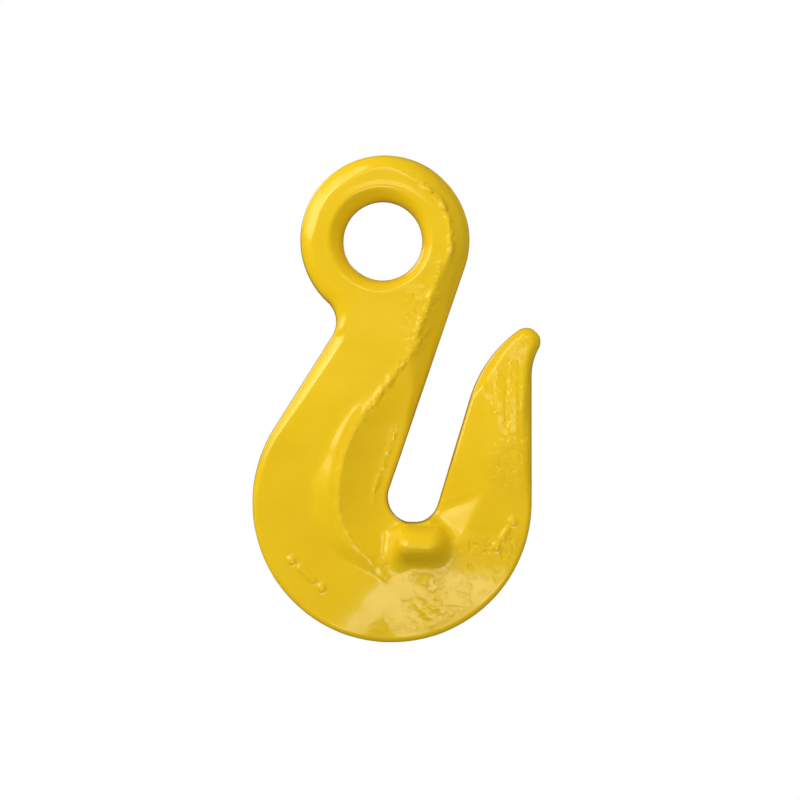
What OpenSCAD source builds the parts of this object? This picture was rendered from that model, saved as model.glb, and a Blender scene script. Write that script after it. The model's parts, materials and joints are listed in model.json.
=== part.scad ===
// Eye grab hook for round-link chain, one drop forging.
// Millimetres. The origin is the centre of the eye's bore, +Z is up the hook, the bore runs along Y
// and the front face looks toward -Y. The hook hangs from its eye, with its point on the +X side.
// The outline is a chain of tangent arcs and lines. The solid is lofted between the two sides of that
// outline, one rib across the forging after another, from the top of the eye to the end of the point.

/* [Eye] */
// Diameter of the bore
bore_d = 19.7; // [18:0.1:20.5]
// Outside diameter of the eye
eye_d = 42.1; // [40:0.1:44]
// Thickness of the eye
eye_t = 12.4; // [11:0.1:14]
// Radius of the rounded mouth at each end of the bore
mouth_r = 4.3; // [3:0.1:4.5]
// How far the eye's outside circle is off the bore's axis, along X and Z
eye_shift = [0.5, 0.3];

/* [Slot] */
// Width of the slot at its floor, which takes one chain link on edge
slot_w = 12.9; // [12:0.1:14]
// Distance from the bore's axis down to the centre of the slot's round floor
slot_drop = 63.9; // [60:0.1:68]
// Distance of that centre from the bore's axis, toward the point
slot_reach = 7.6; // [6:0.1:9]
// Lean of the slot's wall on the point's side, in degrees from upright
point_lean = 16.9; // [15:0.1:18]
// Thickness of the forging at the slot, which fits between two links
seat_t = 10.6; // [9:0.1:12]
// Radius of the pocket that the neighbouring link lies in
pocket_r = 18.2; // [16:0.1:19]

/* [Bowl] */
// Radius of the bowl's outside
bowl_r = 34.8; // [33:0.1:37]
// Centre of the bowl's outside, along X and Z
bowl_at = [2.3, -65.3];
// Thickness of the flat face of the bowl
web_t = 15; // [13:0.1:17]
// Thickness over the raised rim around the pocket
rim_t = 18; // [16:0.1:20]
// Radius of the hollow at the back of the neck
neck_r = 6.7; // [5:0.1:9]
// Lean of the straight back, in degrees from upright
back_lean = 32.2; // [30:0.1:34]

/* [Point] */
// Centre of the rounded end of the point, along X and Z
tip_at = [35.9, -25.1];
// Radius of the rounded end of the point
tip_r = 3.4; // [3:0.1:4]
// Radius of the inside curve of the point
point_in_r = 31.9; // [28:0.1:36]
// Radius of the outward flare below the end of the point
flare_r = 15; // [12:0.1:18]

/* [Wings] */
// Width over the two wings that support the neighbouring links
wings_t = 28; // [26:0.1:32]
// Width of a wing at its root, and at its nose
wing_root_w = 14.4; // [13:0.1:17]
wing_nose_w = 10; // [9:0.1:12]
// Height of a wing at its root, and at its nose
wing_root_h = 10.8; // [10:0.1:12]
wing_nose_h = 4.8; // [4.5:0.1:6]
// How far a wing's top drops from the root to the nose
wing_drop = 2; // [1:0.1:3]
// How far the wings' middle is off the slot's, toward the point
wing_shift = 1.7; // [1:0.1:2]

/* [Hidden] */

COAT = "#e8c21e";
PAST = 20;                // how far the bore's cutter runs past the faces

// Directions and points in the hook's own plane, as [x, z]
function dir(a) = [cos(a), sin(a)];
function mix(a, b, t) = a + (b - a) * t;
function arc(c, r, a0, a1, n) = [for (i = [0:n - 1]) c + r * dir(mix(a0, a1, i / n))];
function line(p, q, n) = [for (i = [0:n - 1]) mix(p, q, i / n)];
function angle_of(v) = atan2(v.y, v.x);
function dot(a, b) = a.x * b.x + a.y * b.y;

eye_r = eye_d / 2;
slot_r = slot_w / 2;
slot_at = [slot_reach, -slot_drop];

// Shank wall of the slot: the crossed tangent from the eye's right side to the slot floor's left side
to_slot = slot_at - eye_shift;
wall_turn = asin((eye_r + slot_r) / norm(to_slot));
wall_a = angle_of(to_slot) - wall_turn;                    // direction down the wall
wall_n = wall_a + 90;                                      // direction from the wall into the slot
wall_top = eye_shift + eye_r * dir(wall_n);
wall_foot = slot_at - slot_r * dir(wall_n);

// Point wall of the slot, and the inside curve of the point that continues it
rise_a = 90 - point_lean;                                  // direction up the wall
rise_n = rise_a - 90;                                      // direction from the slot into the point
rise_foot = slot_at + slot_r * dir(rise_n);
// The inside curve touches the wall and holds the round end inside itself
curve_reach = point_in_r - tip_r;
curve_off = point_in_r - dot(tip_at - rise_foot, dir(rise_n));
curve_at = tip_at + curve_off * dir(rise_n) - sqrt(pow(curve_reach, 2) - pow(curve_off, 2)) * dir(rise_a);
rise_top = curve_at - point_in_r * dir(rise_n);
curve_end_a = angle_of(tip_at - curve_at);

// Outside of the point: upright, then a flare that touches the round end
side_x = bowl_at.x + bowl_r;
flare_dx = side_x + flare_r - tip_at.x;
flare_at = tip_at + [flare_dx, -sqrt(pow(flare_r + tip_r, 2) - pow(flare_dx, 2))];
flare_end_a = angle_of(tip_at - flare_at);

// Back and neck: a straight back tangent to the bowl, and a hollow tangent to the back and the eye
back_n = 180 - back_lean;                                  // direction out of the back
back_foot = bowl_at + bowl_r * dir(back_n);
back_up = dir(90 - back_lean);
// How far the neck's centre is off the line of the back, and along it from the back's foot
neck_run = dot(eye_shift - back_foot, back_up)
    - sqrt(pow(eye_r + neck_r, 2) - pow(dot(eye_shift - back_foot, dir(back_n)) - neck_r, 2));
neck_at = back_foot + neck_run * back_up + neck_r * dir(back_n);
back_top = neck_at - neck_r * dir(back_n);
neck_a = angle_of(eye_shift - neck_at);                    // where the hollow meets the eye

// Ribs in each stretch of the hook
EYE_RIBS = 18;
NECK_RIBS = 8;
BACK_RIBS = 12;
BOWL_RIBS = 34;
POINT_RIBS = 10;
FLARE_RIBS = 5;
TIP_RIBS = 5;
tip_mid_a = mix(flare_end_a - 180, curve_end_a, 0.5);      // where the ribs close on the round end
// The ribs of the neck and the back share out the wall, the neck's set closer by this much
NECK_CLOSER = 0.72;
wall_mid = mix(wall_top, wall_foot, NECK_CLOSER * NECK_RIBS / (NECK_RIBS + BACK_RIBS));

outer = concat(
    arc(eye_shift, eye_r, 90, 180 + neck_a, EYE_RIBS),
    arc(neck_at, neck_r, neck_a, back_n - 180, NECK_RIBS),
    line(back_top, back_foot, BACK_RIBS),
    arc(bowl_at, bowl_r, back_n, 360, BOWL_RIBS),
    line([side_x, bowl_at.y], [side_x, flare_at.y], POINT_RIBS),
    arc(flare_at, flare_r, 180, flare_end_a, FLARE_RIBS),
    arc(tip_at, tip_r, flare_end_a - 180, tip_mid_a, TIP_RIBS)
);
inner = concat(
    arc(eye_shift, eye_r, 90, wall_n, EYE_RIBS),
    line(wall_top, wall_mid, NECK_RIBS),
    line(wall_mid, wall_foot, BACK_RIBS),
    arc(slot_at, slot_r, wall_n + 180, 360 + rise_n, BOWL_RIBS),
    line(rise_foot, rise_top, POINT_RIBS),
    arc(curve_at, point_in_r, rise_n + 180, curve_end_a, FLARE_RIBS),
    arc(tip_at, tip_r, curve_end_a, tip_mid_a, TIP_RIBS)
);

// Where each rib is along the hook: 0 eye top, 1 eye's foot, 2 where the pocket is open, 3 slot floor,
// 4 point wall, 5 inside curve, 6 round end, 7 its last point
function steps(first, n) = [for (i = [0:n - 1]) first + i / n];
station = concat(steps(0, EYE_RIBS), steps(1, NECK_RIBS), steps(2, BACK_RIBS), steps(3, BOWL_RIBS),
    steps(4, POINT_RIBS), steps(5, FLARE_RIBS), steps(6, TIP_RIBS));

// The section across the hook, each value a table over the stations.
// From the slot side: an edge rounding, the pocket floor, its steep wall up to a sharp ridge, a raised
// rim that falls gently to the flat web, and the edge rounding at the outside.
web_h = web_t / 2;
rim_h = rim_t / 2;
eye_h = eye_t / 2;
seat_h = seat_t / 2;
NECK_H = 6.9;
pocket_w = pocket_r - slot_r;
INNER_BAND = [[0, 1.4], [1.5, 1.8], [2.2, 2.4], [5, 1.8], [6, 1.2]];
OUTER_BAND = [[0, 1.2], [1.4, 1.6], [5, 1.6], [6, 1.2]];
INNER_ROUND = [[0, 5.5], [1.6, 5.5], [2.1, 2.8], [4, 2.6], [5, 2.4], [6, 2]];
OUTER_ROUND = [[0, 5.5], [1, 5.2], [1.5, 2.5], [4, 2.4], [5, 2.2], [6, 2]];
FLOOR_H = [[0, eye_h], [1, eye_h], [1.5, NECK_H], [1.7, NECK_H], [2, 5.7], [2.15, seat_h], [3.4, seat_h],
    [3.55, 6.6], [3.75, 6.6], [3.9, seat_h], [4.5, seat_h], [5, 4.8], [6, 3.2]];
RIDGE_H = [[0, eye_h], [1, eye_h], [1.5, NECK_H], [2, 7.8], [2.3, rim_h - 0.4], [2.6, rim_h], [3.4, rim_h],
    [3.6, web_h + 0.3], [4, web_h - 0.2], [4.6, 7], [5, 6.3], [6, 3.4]];
WEB_H = [[0, eye_h], [1, eye_h], [1.5, NECK_H], [2.3, web_h], [4, web_h], [4.6, 7], [5, 6.2], [6, 3.4]];
RIDGE_AT = [[0, 7], [1.6, 6.5], [1.8, 3.4], [2, 3.9], [2.14, 6.4], [2.27, 8.6], [2.41, 10], [2.56, 11.7],
    [2.8, 12.7], [3, pocket_w + 0.2], [3.5, pocket_w], [3.75, pocket_w - 1], [4, pocket_w - 2.2],
    [4.5, 7.2], [5, 5.2], [6, 2.2]];
RIM_W = [[0, 3], [1.7, 3], [2.2, 5], [2.5, 7], [3.4, 7], [3.7, 3.5], [5, 2], [6, 1]];
WALL_W = [[0, 1], [1.8, 0.4], [2.2, 1.6], [3.5, 2], [4, 4], [5, 2], [6, 0.5]];

// A rounded edge: how much of its full height it has reached at fraction f of its width
function edge_rise(f, power = 2.5) = pow(1 - pow(1 - max(0, min(1, f)), power), 1 / power);
ROUND_AT = [0.12, 0.45];

// The most that each feature may take of a short rib: of its whole length, or of what the edges leave
ROUND_SHARE = 0.3;
WALL_SHARE = 0.15;
RIDGE_SHARE = 0.5;
RIM_SHARE = 0.4;
RIDGE_CLEAR = 1.8;        // the ridge stays this many wall widths off the slot's edge rounding
FLOOR_BEND = 0.6;         // where along the pocket floor it starts to rise

// The places of a rib's points, from the slot side, for a rib of length w at station s
function rib_places(s, w) =
    let (a = min(lookup(s, INNER_ROUND), ROUND_SHARE * w), b = min(lookup(s, OUTER_ROUND), ROUND_SHARE * w),
        room = w - a - b,
        wall = min(lookup(s, WALL_W), WALL_SHARE * room),
        ridge = min(max(lookup(s, RIDGE_AT), a + RIDGE_CLEAR * wall), a + RIDGE_SHARE * room),
        rim = min(lookup(s, RIM_W), RIM_SHARE * (w - b - ridge)))
    [0, ROUND_AT[0] * a, ROUND_AT[1] * a, a, mix(a, ridge - wall, FLOOR_BEND), ridge - wall, ridge,
        ridge + rim / 2, ridge + rim, (ridge + rim + w - b) / 2,
        w - b, w - ROUND_AT[1] * b, w - ROUND_AT[0] * b, w];
LAST = 13;                // index of a rib's last point

// How much of the pocket's depth the floor climbs at its bend and at the foot of its wall, and how much
// of the rim's height is gone half way down it
BEND_RISE = 0.04;
FOOT_RISE = 0.25;
RIM_FALL = 0.25;

// Heights of the same points
function rib_heights(s) =
    let (lo = lookup(s, INNER_BAND), out = lookup(s, OUTER_BAND), floor_h = lookup(s, FLOOR_H),
        top = lookup(s, RIDGE_H), web = lookup(s, WEB_H))
    [lo, for (f = ROUND_AT) mix(lo, floor_h, edge_rise(f)), floor_h, mix(floor_h, top, BEND_RISE),
        mix(floor_h, top, FOOT_RISE), top, mix(top, web, RIM_FALL), web, web,
        web, mix(out, web, edge_rise(ROUND_AT[1])), mix(out, web, edge_rise(ROUND_AT[0])), out];

// The eye and the round end are round in plan, so their heights go by the distance from their centres
function dome(p, c, r, edge, low, high) = mix(low, high, edge_rise((r - norm(p - c)) / edge, 2));
function half_height(p, s, h) =
    s < 1 ? dome(p, eye_shift, eye_r, lookup(s, OUTER_ROUND), lookup(0, OUTER_BAND), eye_h)
    : s >= 6 ? dome(p, tip_at, tip_r, tip_r, lookup(6, OUTER_BAND), lookup(6, WEB_H))
    : h;

// One rib: its points on the front (side -1) or the back (side 1)
function rib(i, side) =
    let (p = inner[i], q = outer[i], w = norm(q - p), s = station[i],
        places = rib_places(s, w), heights = rib_heights(s))
    [for (j = [0:LAST]) let (at = w > 0 ? mix(p, q, places[j] / w) : p)
        [at.x, side * half_height(at, s, heights[j]), at.y]];

RIBS = len(station);
PER = LAST + 1;
// The two ends close on short ribs: the first is the top of the eye, the last the end of the point
end_pt = tip_at + tip_r * dir(tip_mid_a);
top_pt = eye_shift + [0, eye_r];

module loft() {
    // Ribs 1 to RIBS - 1 have a length; rib 0 is the single edge at the top of the eye
    ribs = RIBS - 1;
    points = concat(
        [for (i = [1:ribs]) each rib(i, -1)],
        [for (i = [1:ribs]) each rib(i, 1)],
        [[top_pt.x, -lookup(0, OUTER_BAND), top_pt.y], [top_pt.x, lookup(0, OUTER_BAND), top_pt.y],
         [end_pt.x, -lookup(6, OUTER_BAND), end_pt.y], [end_pt.x, lookup(6, OUTER_BAND), end_pt.y]]);
    back = ribs * PER;
    tops = 2 * back;
    ends = tops + 2;
    faces = concat(
        // front and back skins
        [for (i = [0:ribs - 2]) for (j = [0:LAST - 1]) let (a = i * PER + j, b = a + PER)
            each [[a, b + 1, a + 1], [a, b, b + 1]]],
        [for (i = [0:ribs - 2]) for (j = [0:LAST - 1]) let (a = back + i * PER + j, b = a + PER)
            each [[a, a + 1, b + 1], [a, b + 1, b]]],
        // the parting bands along the slot side and the outside
        [for (i = [0:ribs - 2]) let (a = i * PER, b = a + PER)
            each [[a, b + back, b], [a, a + back, b + back]]],
        [for (i = [0:ribs - 2]) let (a = i * PER + LAST, b = a + PER)
            each [[a, b, b + back], [a, b + back, a + back]]],
        // the fan at the top of the eye
        [for (j = [0:LAST - 1]) [tops, j, j + 1]],
        [for (j = [0:LAST - 1]) [tops + 1, back + j + 1, back + j]],
        [[tops, back, 0], [tops, tops + 1, back], [tops, LAST, back + LAST], [tops, back + LAST, tops + 1]],
        // the fan at the end of the point
        let (e = (ribs - 1) * PER) concat(
            [for (j = [0:LAST - 1]) [ends, e + j + 1, e + j]],
            [for (j = [0:LAST - 1]) [ends + 1, back + e + j, back + e + j + 1]],
            [[ends, e, back + e], [ends, back + e, ends + 1],
             [ends, back + e + LAST, e + LAST], [ends, ends + 1, back + e + LAST]]));
    polyhedron(points, faces, convexity = 8);
}

// The bore and its rounded mouths, turned about the Z axis and laid along Y
module bore_cutter() {
    land = eye_h - mouth_r;   // half length of the straight land
    rotate([90, 0, 0]) rotate_extrude($fn = 96) {
        translate([0, -PAST]) square([bore_d / 2, 2 * PAST]);
        for (side = [-1, 1]) scale([1, side]) difference() {
            translate([0, land]) square([bore_d / 2 + mouth_r, PAST - land]);
            translate([bore_d / 2 + mouth_r, land]) circle(mouth_r, $fn = 64);
        }
    }
}

// The wings: one tapered bar through the forging under the slot floor, thick at its root
module wings() {
    NOSE_ROUND = 2.2;
    ROOT_ROUND = 3;
    UNDER_SEAT = 0.15;    // keeps the wings' top just below the slot floor
    top_z = slot_at.y - slot_r - UNDER_SEAT;
    nose_z = top_z - wing_drop;
    nose_x = wing_nose_w / 2 - NOSE_ROUND;
    root_x = wing_root_w / 2 - ROOT_ROUND;
    mid_x = slot_at.x + wing_shift;
    hull() {
        for (side = [-1, 1]) for (x = [-nose_x, nose_x])
            for (z = [nose_z - NOSE_ROUND, nose_z - wing_nose_h + NOSE_ROUND])
                translate([mid_x + x, side * (wings_t / 2 - NOSE_ROUND), z]) sphere(NOSE_ROUND, $fn = 16);
        for (x = [-root_x, root_x]) for (z = [top_z - ROOT_ROUND, top_z - wing_root_h + ROOT_ROUND])
            translate([mid_x + x, web_h, z]) rotate([90, 0, 0])
                cylinder(h = 2 * web_h, r = ROOT_ROUND, $fn = 20);
    }
}

module forged_hook() {
    color(COAT) difference() {
        union() {
            loft();
            wings();
        }
        bore_cutter();
    }
}

forged_hook();
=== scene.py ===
"""Looks of the eye grab hook: one forging with a glossy yellow powder coat.

The forging's surface is worked out as one smooth field (negative inside the steel) from the same
dimensions as the CAD solid, meshed finely, and given the dents, rough ridges and marks of a forging.
Lengths in the shape functions are millimetres in the part's own frame.
"""
import json
import math

import bpy
import numpy as np
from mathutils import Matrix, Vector, noise


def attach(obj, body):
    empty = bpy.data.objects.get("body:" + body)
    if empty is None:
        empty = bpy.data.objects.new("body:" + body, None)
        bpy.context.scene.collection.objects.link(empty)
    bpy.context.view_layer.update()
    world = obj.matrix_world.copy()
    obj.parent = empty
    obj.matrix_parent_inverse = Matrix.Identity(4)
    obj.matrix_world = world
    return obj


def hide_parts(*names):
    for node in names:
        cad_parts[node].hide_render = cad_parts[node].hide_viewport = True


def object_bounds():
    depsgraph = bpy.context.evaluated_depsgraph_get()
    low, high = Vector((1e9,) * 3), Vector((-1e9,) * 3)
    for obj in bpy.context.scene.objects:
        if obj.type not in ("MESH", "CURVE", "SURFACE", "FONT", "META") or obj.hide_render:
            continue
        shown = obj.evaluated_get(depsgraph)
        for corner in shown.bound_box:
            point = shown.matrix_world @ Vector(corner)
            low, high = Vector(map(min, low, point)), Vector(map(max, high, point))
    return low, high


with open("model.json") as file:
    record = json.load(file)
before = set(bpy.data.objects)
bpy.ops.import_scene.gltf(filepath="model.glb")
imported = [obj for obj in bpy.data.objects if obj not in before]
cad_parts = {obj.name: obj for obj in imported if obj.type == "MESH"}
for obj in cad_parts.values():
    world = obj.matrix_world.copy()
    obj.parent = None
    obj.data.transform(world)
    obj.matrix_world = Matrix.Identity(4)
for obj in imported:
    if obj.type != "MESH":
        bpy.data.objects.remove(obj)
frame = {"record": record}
cad_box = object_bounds()

MM = 0.001
MOUNTS = {m["name"]: m for m in frame["record"]["mounts"]}


# ---------------------------------------------------------------- dimensions, as in the CAD
def unit(degrees):
    return np.array([math.cos(math.radians(degrees)), math.sin(math.radians(degrees))])


def angle_of(v):
    return math.degrees(math.atan2(v[1], v[0]))


BORE_R = MOUNTS["eye"]["dims"]["r_mm"]
LAND = MOUNTS["eye"]["dims"]["length_mm"] / 2
EYE_R = 21.05
EYE_AT = np.array([0.5, 0.3])
EYE_H = 6.2

SLOT_R = 6.45
seat = MOUNTS["chain_seat"]["pos_m"]
SLOT_AT = np.array([seat[0] / MM, seat[2] / MM + SLOT_R])
POINT_LEAN = 16.9
SEAT_H = 5.3
POCKET_R = 18.2

BOWL_R = 34.8
BOWL_AT = np.array([2.3, -65.3])
WEB_H = 7.5
RIM_H = 9.0
NECK_R = 6.7
BACK_LEAN = 32.2

TIP_AT = np.array([35.9, -25.1])
TIP_R = 3.4
POINT_IN_R = 31.9
FLARE_R = 15.0

WINGS_H = 14.0


# ---------------------------------------------------------------- outline of tangent arcs and lines
def outline():
    """The outline's pieces: ("arc", centre, radius, from, to) and ("line", start, end)."""
    to_slot = SLOT_AT - EYE_AT
    wall_turn = math.degrees(math.asin((EYE_R + SLOT_R) / np.linalg.norm(to_slot)))
    wall_n = angle_of(to_slot) - wall_turn + 90
    wall_top = EYE_AT + EYE_R * unit(wall_n)
    wall_foot = SLOT_AT - SLOT_R * unit(wall_n)

    rise_n = -POINT_LEAN
    rise_foot = SLOT_AT + SLOT_R * unit(rise_n)
    reach = POINT_IN_R - TIP_R
    off = POINT_IN_R - (TIP_AT - rise_foot) @ unit(rise_n)
    curve_at = TIP_AT + off * unit(rise_n) - math.sqrt(reach**2 - off**2) * unit(rise_n + 90)
    rise_top = curve_at - POINT_IN_R * unit(rise_n)
    curve_end = angle_of(TIP_AT - curve_at)

    side_x = BOWL_AT[0] + BOWL_R
    flare_dx = side_x + FLARE_R - TIP_AT[0]
    flare_at = TIP_AT + np.array([flare_dx, -math.sqrt((FLARE_R + TIP_R) ** 2 - flare_dx**2)])
    flare_end = angle_of(TIP_AT - flare_at)

    back_n = 180 - BACK_LEAN
    back_foot = BOWL_AT + BOWL_R * unit(back_n)
    back_up = unit(90 - BACK_LEAN)
    to_eye = EYE_AT - back_foot
    run = to_eye @ back_up - math.sqrt((EYE_R + NECK_R) ** 2 - (to_eye @ unit(back_n) - NECK_R) ** 2)
    neck_at = back_foot + run * back_up + NECK_R * unit(back_n)
    neck_a = angle_of(EYE_AT - neck_at)

    slot_side = [
        ("line", wall_top, wall_foot),
        ("arc", SLOT_AT, SLOT_R, wall_n + 180, rise_n + 360),
        ("line", rise_foot, rise_top),
        ("arc", curve_at, POINT_IN_R, rise_n + 180, curve_end),
    ]
    tip = [("arc", TIP_AT, TIP_R, curve_end, flare_end - 180)]
    outside = [
        ("arc", flare_at, FLARE_R, flare_end, 180),
        ("line", np.array([side_x, flare_at[1]]), np.array([side_x, BOWL_AT[1]])),
        ("arc", BOWL_AT, BOWL_R, 360, back_n),
        ("line", back_foot, neck_at - NECK_R * unit(back_n)),
        ("arc", neck_at, NECK_R, back_n - 180, neck_a),
    ]
    eye = [("arc", EYE_AT, EYE_R, neck_a + 180, wall_n)]
    return slot_side, tip, outside, eye


def piece_distance(piece, x, z):
    """Distance from each point to one arc or line of the outline."""
    if piece[0] == "line":
        (ax, az), (bx, bz) = piece[1], piece[2]
        dx, dz = bx - ax, bz - az
        t = np.clip(((x - ax) * dx + (z - az) * dz) / (dx * dx + dz * dz), 0, 1)
        return np.hypot(x - ax - t * dx, z - az - t * dz)
    _, centre, radius, start, end = piece
    low, high = min(start, end), max(start, end)
    turn = (np.degrees(np.arctan2(z - centre[1], x - centre[0])) - low) % 360
    on_arc = turn <= high - low
    reach = np.abs(np.hypot(x - centre[0], z - centre[1]) - radius)
    p, q = centre + radius * unit(start), centre + radius * unit(end)
    ends = np.minimum(np.hypot(x - p[0], z - p[1]), np.hypot(x - q[0], z - q[1]))
    return np.where(on_arc, reach, ends)


def piece_points(piece):
    """Points along a piece of the outline, its end left out."""
    if piece[0] == "line":
        return [piece[1]]
    _, centre, radius, start, end = piece
    count = max(4, int(abs(end - start) / 2))
    return [centre + radius * unit(start + (end - start) * i / count) for i in range(count)]


def inside_polygon(points, x, z):
    inside = np.zeros(x.shape, bool)
    for (ax, az), (bx, bz) in zip(points, points[1:] + points[:1]):
        if az == bz:
            continue
        crosses = (az > z) != (bz > z)
        inside ^= crosses & (x < ax + (z - az) * (bx - ax) / (bz - az))
    return inside


# ---------------------------------------------------------------- small shape functions
def ease(t, low=0.0, high=1.0):
    """Rises smoothly from 0 at low to 1 at high."""
    t = np.clip((t - low) / (high - low), 0, 1)
    return t * t * (3 - 2 * t)


def mix(a, b, t):
    return a + (b - a) * t


def soft_min(a, b, k):
    h = np.clip(0.5 + 0.5 * (b - a) / k, 0, 1)
    return mix(b, a, h) - k * h * (1 - h)


def soft_max(a, b, k):
    return -soft_min(-a, -b, k)


def round_max(a, b, r):
    """The part inside both a and b, its edge rounded to radius r."""
    return np.minimum(np.maximum(a, b), -r) + np.hypot(np.maximum(a + r, 0), np.maximum(b + r, 0))


class Plane:
    """Values on a square grid over the hook's plane, read back smoothly between its points."""

    STEP = 0.25
    LOW = np.array([-36.0, -104.0])
    SIZE = (312, 516)

    @classmethod
    def grid(cls):
        x = cls.LOW[0] + cls.STEP * np.arange(cls.SIZE[0])
        z = cls.LOW[1] + cls.STEP * np.arange(cls.SIZE[1])
        return np.meshgrid(x, z, indexing="ij")

    def __init__(self, values):
        self.values = values

    def at(self, x, z):
        u, w = (x - self.LOW[0]) / self.STEP, (z - self.LOW[1]) / self.STEP
        i = np.clip(np.floor(u).astype(int), 1, self.SIZE[0] - 3)
        j = np.clip(np.floor(w).astype(int), 1, self.SIZE[1] - 3)
        total = 0.0
        along_x, along_z = self.weights(u - i), self.weights(w - j)
        for a in range(4):
            for b in range(4):
                total = total + along_x[a] * along_z[b] * self.values[i + a - 1, j + b - 1]
        return total

    @staticmethod
    def weights(t):
        return (
            ((-t + 2) * t - 1) * t / 2,
            ((3 * t - 5) * t * t + 2) / 2,
            ((-3 * t + 4) * t + 1) * t / 2,
            (t - 1) * t * t / 2,
        )


# ---------------------------------------------------------------- height of the faces
# Heights are half the forging's thickness.
SHANK_H = 6.9

# the low lip around the bore's mouth
LIP_R = 13.9
LIP_RISE = 0.13

# under the wings the web thins outside this distance from the slot floor's centre
CONE_FROM = 18.5
CONE_SLOPE = 0.17

# the point's face: its foot, the crack across it, and its end
POINT_FOOT_H = WEB_H - 0.1
CRACK_Z = -49.0
CRACK_DEPTH = 0.25
POINT_TAPER = 0.16
TIP_H = 2.9

# the rim's rise beside the upper half of the pocket, and the pocket's width from ridge to level floor
UPPER_RIM = 0.95
POCKET_RUN = 11.5

# the facet at the foot of the point climbs to the web in this direction, 25 degrees below level
FACET_TOWARD = np.array([0.906, -0.423])
FACET_RUN = 15.3
FACET_SLOPE = 0.35
FACET_LOW_H = 4.8

# the bevel down the left edge, and how far the slot's middle line leans for each millimetre up
BEVEL_SLOPE = 0.45
MIDDLE_LEAN = 0.31

# A hollow that isn't at a point is kept over the surface there: just over it where the hollow runs out.
OVER = 0.6
FAR_OVER = 9.0

# The ridge around the pocket: it runs out under the wing in a straight line, turns about the slot floor
# and then on a flatter arc, and leans straight toward the shank's right edge.
RIDGE_LEAN = 38.0
RIDGE_ARC_R = 35.8
RIDGE_ARC_AT = np.array([SLOT_AT[0] - POCKET_R + RIDGE_ARC_R, SLOT_AT[1]])
RIDGE_END_AT = SLOT_AT + POCKET_R * unit(232)
RIDGE_END_RUN = -46.0


def past_ridge(x, z):
    """Signed distance from the ridge, negative inside the pocket, on the shank's side of the slot."""
    floor_arc = np.hypot(x - SLOT_AT[0], z - SLOT_AT[1]) - POCKET_R
    dx, dz = x - RIDGE_ARC_AT[0], z - RIDGE_ARC_AT[1]
    flat_arc = np.hypot(dx, dz) - RIDGE_ARC_R
    n, t = unit(180 - RIDGE_LEAN), unit(90 - RIDGE_LEAN)
    straight = dx * n[0] + dz * n[1] - RIDGE_ARC_R
    high = dx * t[0] + dz * t[1] > 0
    upper = np.where(high, straight, flat_arc)
    ex, ez = x - RIDGE_END_AT[0], z - RIDGE_END_AT[1]
    n, t = unit(RIDGE_END_RUN - 90), unit(RIDGE_END_RUN)
    lower = np.where(ex * t[0] + ez * t[1] > 0, ex * n[0] + ez * n[1], floor_arc)
    return np.where(dz > 0, upper, lower)


def by_flank(x, z):
    """1 along the right side of the eye and down the shank, where the forging has a flat flank."""
    around = np.degrees(np.arctan2(z - EYE_AT[1], x - EYE_AT[0]))
    return (1 - ease(around, 28, 78)) * ease(x, EYE_AT[0] + 1, EYE_AT[0] + 7) * ease(z, -52, -40)


def by_left_edge(x, z):
    """1 along the bevelled left edge: round the eye's upper left, and down the straight back."""
    back = ease(z, -66, -54) * (1 - ease(z, -25, -21))
    return ease(EYE_AT[0] - x, 1, 9) * np.maximum(ease(z, -3, 5), back)


def right_of_slot(x, z):
    """How far each point is to the right of the slot's middle line."""
    return x - SLOT_AT[0] - MIDDLE_LEAN * (z - SLOT_AT[1])


def by_shank(x, z):
    """1 on the shank's side of the slot's middle line, 0 on the point's side."""
    return 1 - ease(right_of_slot(x, z), -1, 1)


def around_seat(x, z):
    """Direction from the slot floor's centre in degrees: 0 toward the point, 90 up, 270 down."""
    return np.degrees(np.arctan2(z - SLOT_AT[1], x - SLOT_AT[0])) % 360


def point_height(x, z):
    """The point's face, which thins toward the tip from a ragged crack across it."""
    over_crack = z - CRACK_Z + 0.5 * np.sin(1.7 * x) + 0.3 * np.sin(3.9 * x + 1)
    crack = np.exp(-((over_crack / 0.5) ** 2)) * ease(x, 26, 29)
    height = POINT_FOOT_H - POINT_TAPER * np.maximum(over_crack, 0) - CRACK_DEPTH * crack
    return mix(height, TIP_H, ease(z, -40, -22))


def body_height(x, z):
    """The eye, shank, web and point, before the rim and the pocket."""
    body = mix(WEB_H, SHANK_H, ease(z, -44, -26))
    body = mix(body, EYE_H, ease(z, -31, -10))
    # a low lip on the upper left side of the bore's mouth
    lip = np.exp(-(((np.hypot(x, z) - LIP_R) / 0.5) ** 2)) * ease(z - x, -8, 12)
    body = body + LIP_RISE * lip
    # below the wings the web thins toward the outside, like a cone about the slot's round floor
    around = around_seat(x, z)
    from_seat = np.hypot(x - SLOT_AT[0], z - SLOT_AT[1])
    below = ease(around, 236, 270) * (1 - ease(around, 282, 324))
    body = body - CONE_SLOPE * below * soft_max(from_seat - CONE_FROM, 0, 5)
    on_point = ease(right_of_slot(x, z), 2, 8) * ease(z, -74, -60)
    return mix(body, point_height(x, z), on_point)


def rim_height(x, z):
    """How far the rim stands over the web at the ridge. It runs out at both ends of the pocket."""
    rim = mix(RIM_H - WEB_H, UPPER_RIM, ease(z, -62, -52)) - 0.35 * np.clip((z + 52) / 13, 0, 1)
    to_web = ease(around_seat(x, z), 215, 258)
    return rim * (1 - ease(z, -43, -36)) * (1 - to_web) * by_shank(x, z)


def rim_fall(x, z):
    """How far the rim has come down outside its ridge: a nearly flat top, then a slope."""
    ridge = past_ridge(x, z)
    low_end = ease(around_seat(x, z), 195, 225)
    top_w = mix(2.9, 1.5, low_end)
    steepness = mix(0.3, 0.42, low_end)
    return 0.08 * np.clip(ridge, 0, top_w) + steepness * np.maximum(ridge - top_w, 0)


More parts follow.
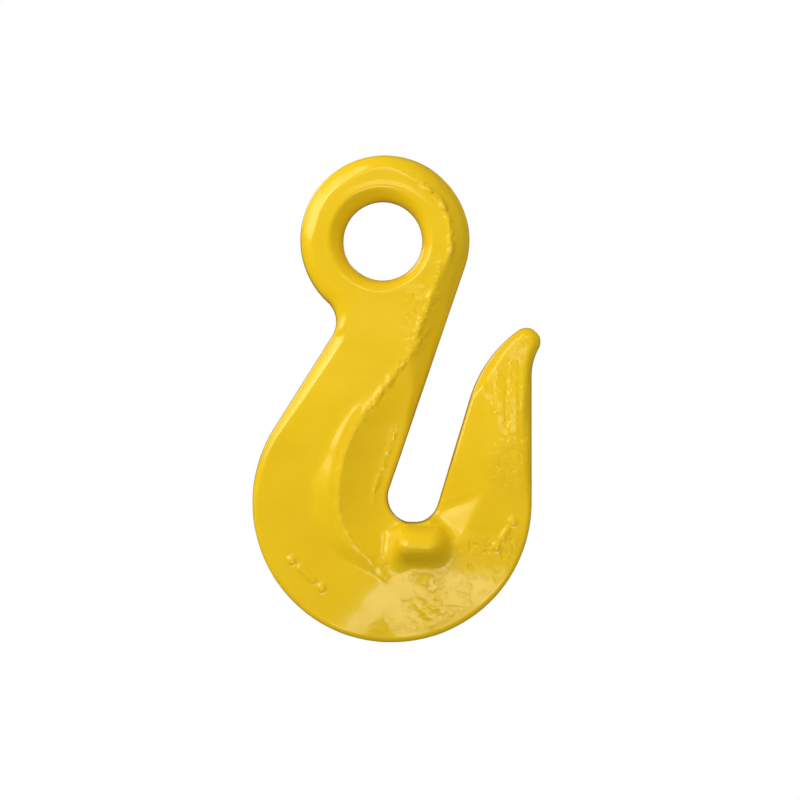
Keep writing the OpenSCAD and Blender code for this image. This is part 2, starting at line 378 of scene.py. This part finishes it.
def pocket_height(x, z, rim_top, outside):
    """The pocket on the shank's side, a hollow curve from the ridge down to the slot's wall."""
    ridge = past_ridge(x, z)
    depth = np.clip(-ridge / POCKET_RUN, 0, 1)
    floor = SEAT_H + (rim_top - SEAT_H) * (1 - depth) ** 1.75
    floor = mix(floor, outside + OVER, ease(around_seat(x, z), 236, 264))
    inside = np.where(ridge < 0, floor, outside + FAR_OVER)
    return mix(outside + FAR_OVER, inside, by_shank(x, z))


def point_side_height(x, z, slot_gap, outside):
    """The point's side: a flat facet rising from the slot floor, and a bevel up the point's inside."""
    dx, dz = x - SLOT_AT[0], z - SLOT_AT[1]
    past_facet = FACET_TOWARD[0] * dx + FACET_TOWARD[1] * dz - FACET_RUN
    facet = np.maximum(WEB_H + FACET_SLOPE * past_facet, FACET_LOW_H)
    up = ease(z, -67, -56)
    bevel = mix(FACET_LOW_H, 6.0, up) - 0.8 * ease(z, -56, -36) + mix(0.28, 0.15, up) * slot_gap
    over_facet = dz + 2.5 - 0.4 * (dx - 7)
    side = mix(facet, bevel, ease(over_facet, -1.2, 1.2))
    around = around_seat(x, z)
    side = mix(side, outside + OVER, ease(around, 200, 264) * (1 - ease(around, 296, 326)))
    return mix(side, outside + FAR_OVER, by_shank(x, z))


def flank_height(z, edge_gap):
    """The flat flank down the right side of the eye and the shank, which runs out into the pocket."""
    steepness = mix(1.0, 0.84, ease(-z, 0, 14))
    return mix(1.9, 4.6, ease(-z, 22, 44)) + steepness * np.maximum(edge_gap, 0)


def left_bevel(x, z, edge_gap):
    """How much the bevel takes off along the left edge."""
    width = mix(1.7, 3.0, ease(z, -58, -26)) + 0.6 * ease(z, -5, 5)
    return BEVEL_SLOPE * by_left_edge(x, z) * soft_max(width - edge_gap, 0, 0.4)


def face_height(x, z, slot_gap, edge_gap):
    """Half the forging's thickness at its faces, before edge rounding, bore and wings."""
    body = body_height(x, z)
    rim = rim_height(x, z)
    outside = body + soft_max(rim - rim_fall(x, z), 0, 0.3)
    surface = soft_min(outside, pocket_height(x, z, body + rim, outside), 0.6)
    surface = soft_min(surface, point_side_height(x, z, slot_gap, outside), 0.3)
    surface = surface - left_bevel(x, z, edge_gap)
    point_inside = (1 - by_shank(x, z)) * (1 - ease(slot_gap - edge_gap, 0, 4))
    flanked = by_flank(x, z) * (1 - point_inside)
    return mix(surface, soft_min(surface, flank_height(z, edge_gap), 0.6), flanked)


# The wing tapers from its root to its nose. Each pair is a size at the root and at the nose: how far the
# wing reaches left, right and down from the middle of the slot's floor, and how round its long edges are.
WING_ROOT_H = 5.0
WING_LEFT = (5.0, 3.4)
WING_RIGHT = (9.4, 6.2)
WING_BOTTOM = (10.9, 7.1)
WING_ROUND = (4.4, 2.4)
WING_FALL = 3.6
WING_NOSE_ROUND = 2.2
SEAT_Z = SLOT_AT[1] - SLOT_R


def wings(x, y, z):
    """Distance to the tapered bar through the forging under the slot floor."""
    depth = np.abs(y)
    u = np.clip((depth - WING_ROOT_H) / (WINGS_H - WING_ROOT_H), 0, 1.1)
    top = SEAT_Z - 0.1 - WING_FALL * u**2
    bottom = SEAT_Z - mix(*WING_BOTTOM, u)
    left = SLOT_AT[0] - mix(*WING_LEFT, u)
    right = SLOT_AT[0] + mix(*WING_RIGHT, u)
    a = np.maximum(left - x, x - right)
    b = np.abs(z - (top + bottom) / 2) - (top - bottom) / 2
    sides = round_max(a, b, mix(*WING_ROUND, u))
    return round_max(sides, depth - WINGS_H, WING_NOSE_ROUND)


# ---------------------------------------------------------------- the forging's field
def edge_radius(x, z, by_slot):
    """How much the nearest edge is rounded."""
    from_eye = np.hypot(x - EYE_AT[0], z - EYE_AT[1])
    eye = mix(3.4, 4.6, ease(x, 0, 8))
    point_inside = mix(0.5, 2.8, ease(z, -40, -34))
    radius = np.full(x.shape, 1.2)
    radius = mix(radius, 1.0, by_slot)
    radius = mix(radius, eye, 1 - ease(from_eye, 19, 28))
    radius = mix(radius, 2.0, by_flank(x, z) * ease(z, -52, -40))
    radius = mix(radius, 2.3, ease(x, 30, 35) * ease(z, -66, -56))
    radius = mix(radius, point_inside, by_slot * ease(x, 16, 19))
    return mix(radius, 1.4, by_left_edge(x, z))


def make_planes():
    """The outline's distances, the faces' height and the edges' rounding, each as a Plane."""
    x, z = Plane.grid()
    slot_side, tip, outside, eye = outline()
    every = slot_side + tip + outside + eye
    gap = np.min([piece_distance(p, x, z) for p in every], axis=0)
    polygon = [q for p in every for q in piece_points(p)]
    edge = np.where(inside_polygon(polygon, x, z), -gap, gap)
    slot_gap = np.min([piece_distance(p, x, z) for p in slot_side], axis=0)
    rest_gap = np.min([piece_distance(p, x, z) for p in tip + outside + eye], axis=0)

    by_slot = 1 - ease(slot_gap - rest_gap, -3, 3)
    values = {
        "edge": edge,
        "height": face_height(x, z, slot_gap, -edge),
        "radius": edge_radius(x, z, by_slot),
        "slot": slot_gap,
    }
    return {name: Plane(value) for name, value in values.items()}


DRAFT = 0.035
PARTING_LINE = 0.1
BORE_REACH = 16.0
MOUTH_FLARE = 3.1
MOUTH_DEPTH = EYE_H - LAND
FIELD_PLANES = ("edge", "height", "radius")


def bore_mouth(x, z, over):
    """Zero on the bore and its flared mouth, wider on the upper left; over is the height over the face."""
    out = np.hypot(x, z)
    upper_left = (z - x) / np.maximum(out, 1) / math.sqrt(2)
    flare = MOUTH_FLARE + 0.45 * upper_left
    power = 1.5 - 0.25 * upper_left
    u = np.maximum((BORE_R + flare - out) / flare, 0)
    v = np.maximum((over + MOUTH_DEPTH) / MOUTH_DEPTH, 0)
    return flare * ((u**power + v**power) ** (1 / power) - 1)


def forging(x, y, z, edge, height, radius):
    """The field: negative in the steel. The last three are the planes' values at (x, z)."""
    depth = np.abs(y)
    side = edge + DRAFT * np.maximum(depth - 0.6, 0) - PARTING_LINE * np.exp(-((depth / 0.7) ** 2))
    body = round_max(side, depth - height, np.minimum(radius, height - 0.6))
    bored = np.maximum(body, bore_mouth(x, z, depth - height))
    body = np.where(np.hypot(x, z) < BORE_REACH, bored, body)
    under_seat = SEAT_Z - z
    fillet = mix(0.8, 2.0, ease(under_seat, -0.5, 3.5))
    fillet = mix(fillet, 4.5, ease(SLOT_AT[0] - x, 0, 5) * ease(under_seat, -0.5, 2.5))
    return soft_min(body, wings(x, y, z), fillet)


def at_points(p, planes):
    x, y, z = p.T
    return forging(x, y, z, *(planes[k].at(x, z) for k in FIELD_PLANES))


# ---------------------------------------------------------------- meshing
def fill_pinches(field):
    """Joins, in place, any two corners in the steel that only touch across a grid square's diagonal.

    Two sheets of the surface would share an edge there.
    """
    just_inside = -0.001
    for u, v in 2 * ((0, 1), (0, 2), (1, 2)):
        f = np.moveaxis(field, (u, v), (0, 1))
        a, b, c, d = f[:-1, :-1], f[1:, :-1], f[:-1, 1:], f[1:, 1:]
        b[(a < 0) & (d < 0) & (b >= 0) & (c >= 0)] = just_inside
        a[(b < 0) & (c < 0) & (a >= 0) & (d >= 0)] = just_inside


def surface_nets(field, low, step):
    """One vertex in each cell that the surface crosses, one quad for each grid edge that it crosses."""
    inside = field < 0
    n = np.array(field.shape) - 1
    corner_sets = [(i, j, k) for i in (0, 1) for j in (0, 1) for k in (0, 1)]

    def corner(a, c):
        return a[c[0] : c[0] + n[0], c[1] : c[1] + n[1], c[2] : c[2] + n[2]]

    count = sum(corner(inside, c).astype(np.int8) for c in corner_sets)
    cells = np.argwhere((count > 0) & (count < 8))
    index = np.full(n, -1, np.int64)
    index[tuple(cells.T)] = np.arange(len(cells))
    total, hits = np.zeros((len(cells), 3)), np.zeros(len(cells))
    for c in corner_sets:
        for axis in range(3):
            if c[axis]:
                continue
            d = np.array(c)
            d[axis] = 1
            f0, f1 = field[tuple((cells + c).T)], field[tuple((cells + d).T)]
            crossed = (f0 < 0) != (f1 < 0)
            t = f0 / np.where(crossed, f0 - f1, 1)
            spot = np.tile(np.array(c, float), (len(cells), 1))
            spot[:, axis] = t
            total[crossed] += spot[crossed]
            hits += crossed
    points = low + (cells + total / hits[:, None]) * step
    quads = []
    for axis in range(3):
        u, v = (axis + 1) % 3, (axis + 2) % 3
        a = np.moveaxis(inside, (axis, u, v), (0, 1, 2))
        ids = np.moveaxis(index, (axis, u, v), (0, 1, 2))
        changed = a[:-1] != a[1:]
        i, j, k = np.nonzero(changed[:, 1:-1, 1:-1])
        j, k = j + 1, k + 1
        ring = np.stack([ids[i, j - 1, k - 1], ids[i, j, k - 1], ids[i, j, k], ids[i, j - 1, k]], 1)
        outward = a[i, j, k]
        quads.append(np.where(outward[:, None], ring, ring[:, ::-1]))
    return points, np.concatenate(quads)


def slopes(p, planes, reach=0.05):
    g = np.empty_like(p)
    for axis in range(3):
        d = np.zeros(3)
        d[axis] = reach
        g[:, axis] = (at_points(p + d, planes) - at_points(p - d, planes)) / (2 * reach)
    return g


def settle(p, planes, rounds):
    """Moves points along the field's slope until they lie on its surface."""
    for _ in range(rounds):
        g = slopes(p, planes)
        move = at_points(p, planes)[:, None] * g / np.maximum((g * g).sum(1), 0.2)[:, None]
        size = np.linalg.norm(move, axis=1, keepdims=True)
        p = p - move * np.minimum(1, 0.3 / np.maximum(size, 1e-9))
    return p


def relax(p, quads, amount=0.5):
    """Moves each point toward the mean of its neighbours."""
    edges = np.concatenate([quads[:, [0, 1]], quads[:, [1, 2]], quads[:, [2, 3]], quads[:, [3, 0]]])
    total = np.zeros_like(p)
    for axis in range(3):
        total[:, axis] = np.bincount(edges[:, 0], p[edges[:, 1], axis], len(p))
        total[:, axis] += np.bincount(edges[:, 1], p[edges[:, 0], axis], len(p))
    count = np.bincount(edges.ravel(), minlength=len(p))
    return mix(p, total / count[:, None], amount)


def forging_mesh(step):
    """The forging's points, faces and normals, and the planes that they were made from."""
    planes = make_planes()
    low = np.array([-34.5, -15.5, -102.0])
    high = np.array([41.0, 15.5, 23.5])
    n = np.ceil((high - low) / step).astype(int) + 1
    x, y, z = (low[a] + step * np.arange(n[a]) for a in range(3))
    gx, gz = np.meshgrid(x, z, indexing="ij")
    flat = [planes[k].at(gx, gz)[:, None, :] for k in FIELD_PLANES]
    field = forging(x[:, None, None], y[None, :, None], z[None, None, :], *flat)
    fill_pinches(field)
    p, quads = surface_nets(field, low, step)
    p = settle(p, planes, 2)
    for _ in range(3):
        p = settle(relax(p, quads), planes, 1)
    p = settle(p, planes, 2)
    g = slopes(p, planes)
    normals = g / np.linalg.norm(g, axis=1, keepdims=True)
    return p, quads, normals, planes


def noise_at(p, size, seed=0.0):
    """Smooth noise of about -1 to 1, with lumps of the given size in millimetres."""
    shift = Vector((seed * 17.3, seed * 5.1, -seed * 9.7))
    return np.array([noise.noise(Vector(q) / size + shift) for q in p.tolist()])


def burrs(p, planes):
    """How much of a torn, raised edge runs through each point, 0 to 1."""
    x, y, z = p.T
    from_eye = np.hypot(x - EYE_AT[0], z - EYE_AT[1])
    eye = np.exp(-(((from_eye - 16.5) / 0.8) ** 2)) * ease(x, 5, 10) * ease(z, -8, -4)
    wall = planes["slot"].at(x, z)
    shank = np.exp(-(((wall - 5.9) / 0.9) ** 2)) * ease(-z, 4, 8) * (1 - ease(-z, 22, 25)) * (x < 25)
    shank_side = by_shank(x, z)
    along = mix(1.0, 0.3, ease(-z, 40, 48)) + 0.15 * ease(-z, 62, 70)
    ridge = np.exp(-(((past_ridge(x, z) - 0.6) / 0.9) ** 2)) * ease(-z, 20, 24) * shank_side * along
    ridge = ridge * (1 - ease(x, 2, 5) * ease(-z, 70, 75))
    worn = np.exp(-(((wall - 3.3) / 0.6) ** 2)) * ease(-z, 45, 48) * (1 - ease(-z, 63, 66))
    return np.maximum.reduce([eye, shank, ridge, 0.6 * worn * shank_side])


def scale_pits(p):
    """How pitted the face is at each point, 0 to 1."""
    x, y, z = p.T
    bowl = ease(x, 2, 8) * ease(-z, 74, 80)
    band = np.exp(-(((x - 13.5 + 0.3 * (z + 90)) / 5.0) ** 2)) * ease(-z, 79, 84)
    right = ease(x, 18, 22) * ease(-z, 72, 75) * (1 - ease(-z, 80, 86))
    point = 0.45 * ease(x, 25.5, 28) * ease(-z, 26, 30) * (1 - ease(-z, 58, 66))
    neck = 0.7 * ease(x, 4, 8) * (1 - ease(x, 14, 17)) * ease(-z, 10, 14) * (1 - ease(-z, 26, 30))
    end_x, end_z = SLOT_AT + POCKET_R * unit(248)
    ridge_end = 0.6 * np.exp(-((np.hypot(x - end_x, z - end_z) / 3.5) ** 2))
    low = ease(-z, 92, 95) * ease(x, -6, -2)
    return np.maximum.reduce([0.35 * bowl, band, 0.8 * right, point, neck, ridge_end, 0.2 * low])


BURR_RISE = 0.42
BUMP_RISE = 0.16
PIT_DEPTH = 0.06
FOLD_DEPTH = 0.03


def roughened(p, normals, planes):
    """The marks of forging: uneven faces, pitted patches and torn edges. Also gives how rough."""
    facing = ease(np.abs(normals[:, 1]), 0.45, 0.8)
    gap = -planes["edge"].at(p[:, 0], p[:, 2])
    burr = burrs(p, planes) * facing
    pitted = scale_pits(p) * facing * ease(gap, 1.5, 3.5)
    uneven = 0.07 * noise_at(p, 11, 1) + mix(0.03, 0.07, ease(-p[:, 2], 42, 50)) * noise_at(p, 5, 2)
    torn = ease(noise_at(p, 2.3, 3), -0.1, 0.25) + 0.35 * noise_at(p, 1.1, 4)
    patchy = ease(noise_at(p, 7, 6), -0.15, 0.2)
    folds = np.clip(1 - np.abs(noise_at(p * (1, 1, 1.5), 2.6, 5)) / 0.16, 0, 1)
    folds = folds * ease(noise_at(p, 2.2, 9), -0.05, 0.15)
    pits = ease(noise_at(p, 1.6, 7), 0.12, 0.34)
    bumps = ease(noise_at(p, 1.7, 8), 0.08, 0.36)
    scale = BUMP_RISE * bumps - PIT_DEPTH * pits - FOLD_DEPTH * folds
    rise = BURR_RISE * burr * torn + pitted * patchy * scale
    rise = rise + 0.05 * pitted * noise_at(p, 3.4, 10)
    return p + normals * (uneven * ease(gap, -1, 1.5) + rise)[:, None], np.maximum(burr, pitted)


# Raised batch marks on the front face, plain pips and bars: (x, z, length, slant in degrees)
MARK_W = 1.3
MARK_RISE = 0.42
MARKS = [
    (-22.6, -79.4, 0.0, 0), (-18.9, -82.8, 4.6, -42), (-15.2, -86.2, 0.0, 0),
    (28.2, -76.0, 0.0, 0), (30.2, -72.9, 2.6, 57), (32.2, -69.8, 0.0, 0),
]


def marked(p, normals):
    """Raises the batch marks from the front face."""
    rise = np.zeros(len(p))
    for x, z, length, slant in MARKS:
        along, across = unit(slant), unit(slant + 90)
        dx, dz = p[:, 0] - x, p[:, 2] - z
        u = np.maximum(np.abs(dx * along[0] + dz * along[1]) - length / 2, 0)
        v = dx * across[0] + dz * across[1]
        half = MARK_W / 2 if length else MARK_W * 0.75
        rise = np.maximum(rise, 1 - ease(np.hypot(u, v), half - 0.35, half + 0.45))
    rise = rise * (normals[:, 1] < -0.5)
    return p + normals * (MARK_RISE * rise)[:, None]


MESH_STEP = 0.45


def build_hook():
    p, quads, normals, planes = forging_mesh(MESH_STEP)
    p, rough = roughened(p, normals, planes)
    p = marked(p, normals)
    mesh = bpy.data.meshes.new("forging")
    mesh.from_pydata((p * MM).tolist(), [], quads.tolist())
    mesh.shade_smooth()
    mesh.attributes.new("rough", "FLOAT", "POINT").data.foreach_set("value", rough)
    hook = bpy.data.objects.new("forging", mesh)
    bpy.context.scene.collection.objects.link(hook)
    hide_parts("forged_hook")
    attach(hook, "root")
    return hook


# ---------------------------------------------------------------- the powder coat
def powder_coat():
    """Glossy chrome yellow with a faint orange peel, duller and crinkled where the steel is rough."""
    material = bpy.data.materials.new("yellow_coat")
    material.use_nodes = True
    nodes, links = material.node_tree.nodes, material.node_tree.links
    shader = nodes["Principled BSDF"]
    shader.inputs["IOR"].default_value = 1.5
    shader.inputs["Specular Tint"].default_value = (1, 0.93, 0.45, 1)
    shader.inputs["Coat Weight"].default_value = 0.25
    shader.inputs["Coat Roughness"].default_value = 0.1
    place = nodes.new("ShaderNodeTexCoord")
    rough = nodes.new("ShaderNodeAttribute")
    rough.attribute_name = "rough"

    def noise_node(scale, detail):
        node = nodes.new("ShaderNodeTexNoise")
        node.inputs["Scale"].default_value = scale
        node.inputs["Detail"].default_value = detail
        links.new(place.outputs["Object"], node.inputs["Vector"])
        return node.outputs["Fac"]

    def ramp_node(source, *stops):
        node = nodes.new("ShaderNodeValToRGB")
        for element, (spot, colour) in zip(node.color_ramp.elements, stops):
            element.position, element.color = spot, (*colour, 1)
        links.new(source, node.inputs["Fac"])
        return node.outputs["Color"]

    def maths(operation, a, b):
        node = nodes.new("ShaderNodeMath")
        node.operation = operation
        for socket, value in zip(node.inputs, (a, b)):
            if isinstance(value, (int, float)):
                socket.default_value = value
            else:
                links.new(value, socket)
        return node.outputs[0]

    tone = ramp_node(noise_node(90, 4), (0.3, (0.80, 0.51, 0.007)), (0.7, (0.84, 0.545, 0.009)))
    links.new(tone, shader.inputs["Base Color"])
    sheen = maths("ADD", maths("MULTIPLY", noise_node(260, 3), 0.14), 0.15)
    links.new(maths("ADD", sheen, maths("MULTIPLY", rough.outputs["Fac"], 0.05)), shader.inputs["Roughness"])

    peel = nodes.new("ShaderNodeBump")
    peel.inputs["Distance"].default_value = 0.00008
    peel.inputs["Strength"].default_value = 0.3
    links.new(noise_node(500, 2), peel.inputs["Height"])
    crinkle = nodes.new("ShaderNodeBump")
    crinkle.inputs["Distance"].default_value = 0.0003
    crinkle.inputs["Strength"].default_value = 0.7
    pits = ramp_node(noise_node(520, 1), (0.52, (1, 1, 1)), (0.68, (0, 0, 0)))
    links.new(maths("MULTIPLY", pits, rough.outputs["Fac"]), crinkle.inputs["Height"])
    links.new(peel.outputs["Normal"], crinkle.inputs["Normal"])
    links.new(crinkle.outputs["Normal"], shader.inputs["Normal"])
    return material


# ---------------------------------------------------------------- floor, light and camera
AMBIENT_BELOW = 0.4
AMBIENT_ABOVE = 0.75
REFLECTED = 0.03


# Soft boxes: name, direction from the hook, distance, width and height in metres, radiance
LIGHTS = [
    ("key", (-0.62, -0.68, 0.38), 0.5, 0.26, 0.2, 4.2),
    ("key_above", (-0.38, -0.7, 0.58), 0.5, 0.22, 0.18, 3.5),
    ("key_edge", (-0.82, -0.22, 0.46), 0.5, 0.28, 0.26, 1.6),
    ("front_above", (0.03, -1.0, 0.3), 0.8, 0.18, 0.16, 3.2),
    ("front_low", (0.08, -0.92, -0.4), 0.8, 0.3, 0.22, 7.0),
    ("back_left", (-0.6, 0.66, 0.45), 0.8, 0.4, 0.4, 1.3),
    ("back_soft", (0.4, 1.0, 0.35), 0.8, 0.2, 0.2, 2.5),
]
FRAME_WIDTH = 0.2
CAMERA_DISTANCE = 0.9
CAMERA_AIM = (0.00428, -0.03966)


def add_camera():
    """Looks square on to the front face."""
    data = bpy.data.cameras.new("camera")
    camera = bpy.data.objects.new("camera", data)
    bpy.context.scene.collection.objects.link(camera)
    bpy.context.scene.camera = camera
    data.sensor_width = 36
    data.lens = data.sensor_width * CAMERA_DISTANCE / FRAME_WIDTH
    camera.location = (CAMERA_AIM[0], -CAMERA_DISTANCE, CAMERA_AIM[1])
    camera.rotation_euler = (math.radians(90), 0, 0)


def add_light(name, direction, distance, width, height, radiance):
    """A soft box aimed at the hook's middle."""
    low, high = cad_box
    middle = (low + high) / 2
    data = bpy.data.lights.new(name, "AREA")
    data.shape = "RECTANGLE"
    data.size, data.size_y = width, height
    data.energy = radiance * math.pi * width * height
    light = bpy.data.objects.new(name, data)
    light.location = middle + Vector(direction).normalized() * distance
    light.rotation_euler = (light.location - middle).to_track_quat("Z", "Y").to_euler()
    bpy.context.scene.collection.objects.link(light)


def add_world():
    """White to the camera, a soft light that is stronger from above, and nearly dark in reflections."""
    world = bpy.data.worlds.new("studio")
    bpy.context.scene.world = world
    world.use_nodes = True
    nodes, links = world.node_tree.nodes, world.node_tree.links
    soft = nodes["Background"]
    soft.inputs["Color"].default_value = (1, 1, 1, 1)
    place = nodes.new("ShaderNodeTexCoord")
    parts = nodes.new("ShaderNodeSeparateXYZ")
    height = nodes.new("ShaderNodeMapRange")
    height.inputs["From Min"].default_value = -1
    height.inputs["To Min"].default_value = AMBIENT_BELOW
    height.inputs["To Max"].default_value = AMBIENT_ABOVE
    links.new(place.outputs["Generated"], parts.inputs[0])
    links.new(parts.outputs["Z"], height.inputs["Value"])
    links.new(height.outputs[0], soft.inputs["Strength"])
    path = nodes.new("ShaderNodeLightPath")
    light = soft
    for ray, strength in (("Is Glossy Ray", REFLECTED), ("Is Camera Ray", 1.0)):
        other = nodes.new("ShaderNodeBackground")
        other.inputs["Color"].default_value = (1, 1, 1, 1)
        other.inputs["Strength"].default_value = strength
        choice = nodes.new("ShaderNodeMixShader")
        links.new(path.outputs[ray], choice.inputs[0])
        links.new(light.outputs[0], choice.inputs[1])
        links.new(other.outputs[0], choice.inputs[2])
        light = choice
    links.new(light.outputs[0], nodes["World Output"].inputs["Surface"])


def add_floor():
    low, high = cad_box
    bpy.ops.mesh.primitive_circle_add(vertices=96, radius=0.45, fill_type="NGON",
                                      location=((low.x + high.x) / 2, 0, low.z - 0.12))
    floor = bpy.context.object
    floor.name = "floor"
    material = bpy.data.materials.new("pale_floor")
    material.use_nodes = True
    material.node_tree.nodes["Principled BSDF"].inputs["Base Color"].default_value = (0.85, 0.85, 0.85, 1)
    floor.data.materials.append(material)
    floor.visible_glossy = False
    floor.visible_diffuse = False


def main():
    bpy.context.scene.view_settings.view_transform = "Standard"
    add_camera()
    add_world()
    add_floor()
    for light in LIGHTS:
        add_light(*light)
    hook = build_hook()
    hook.data.materials.append(powder_coat())


main()
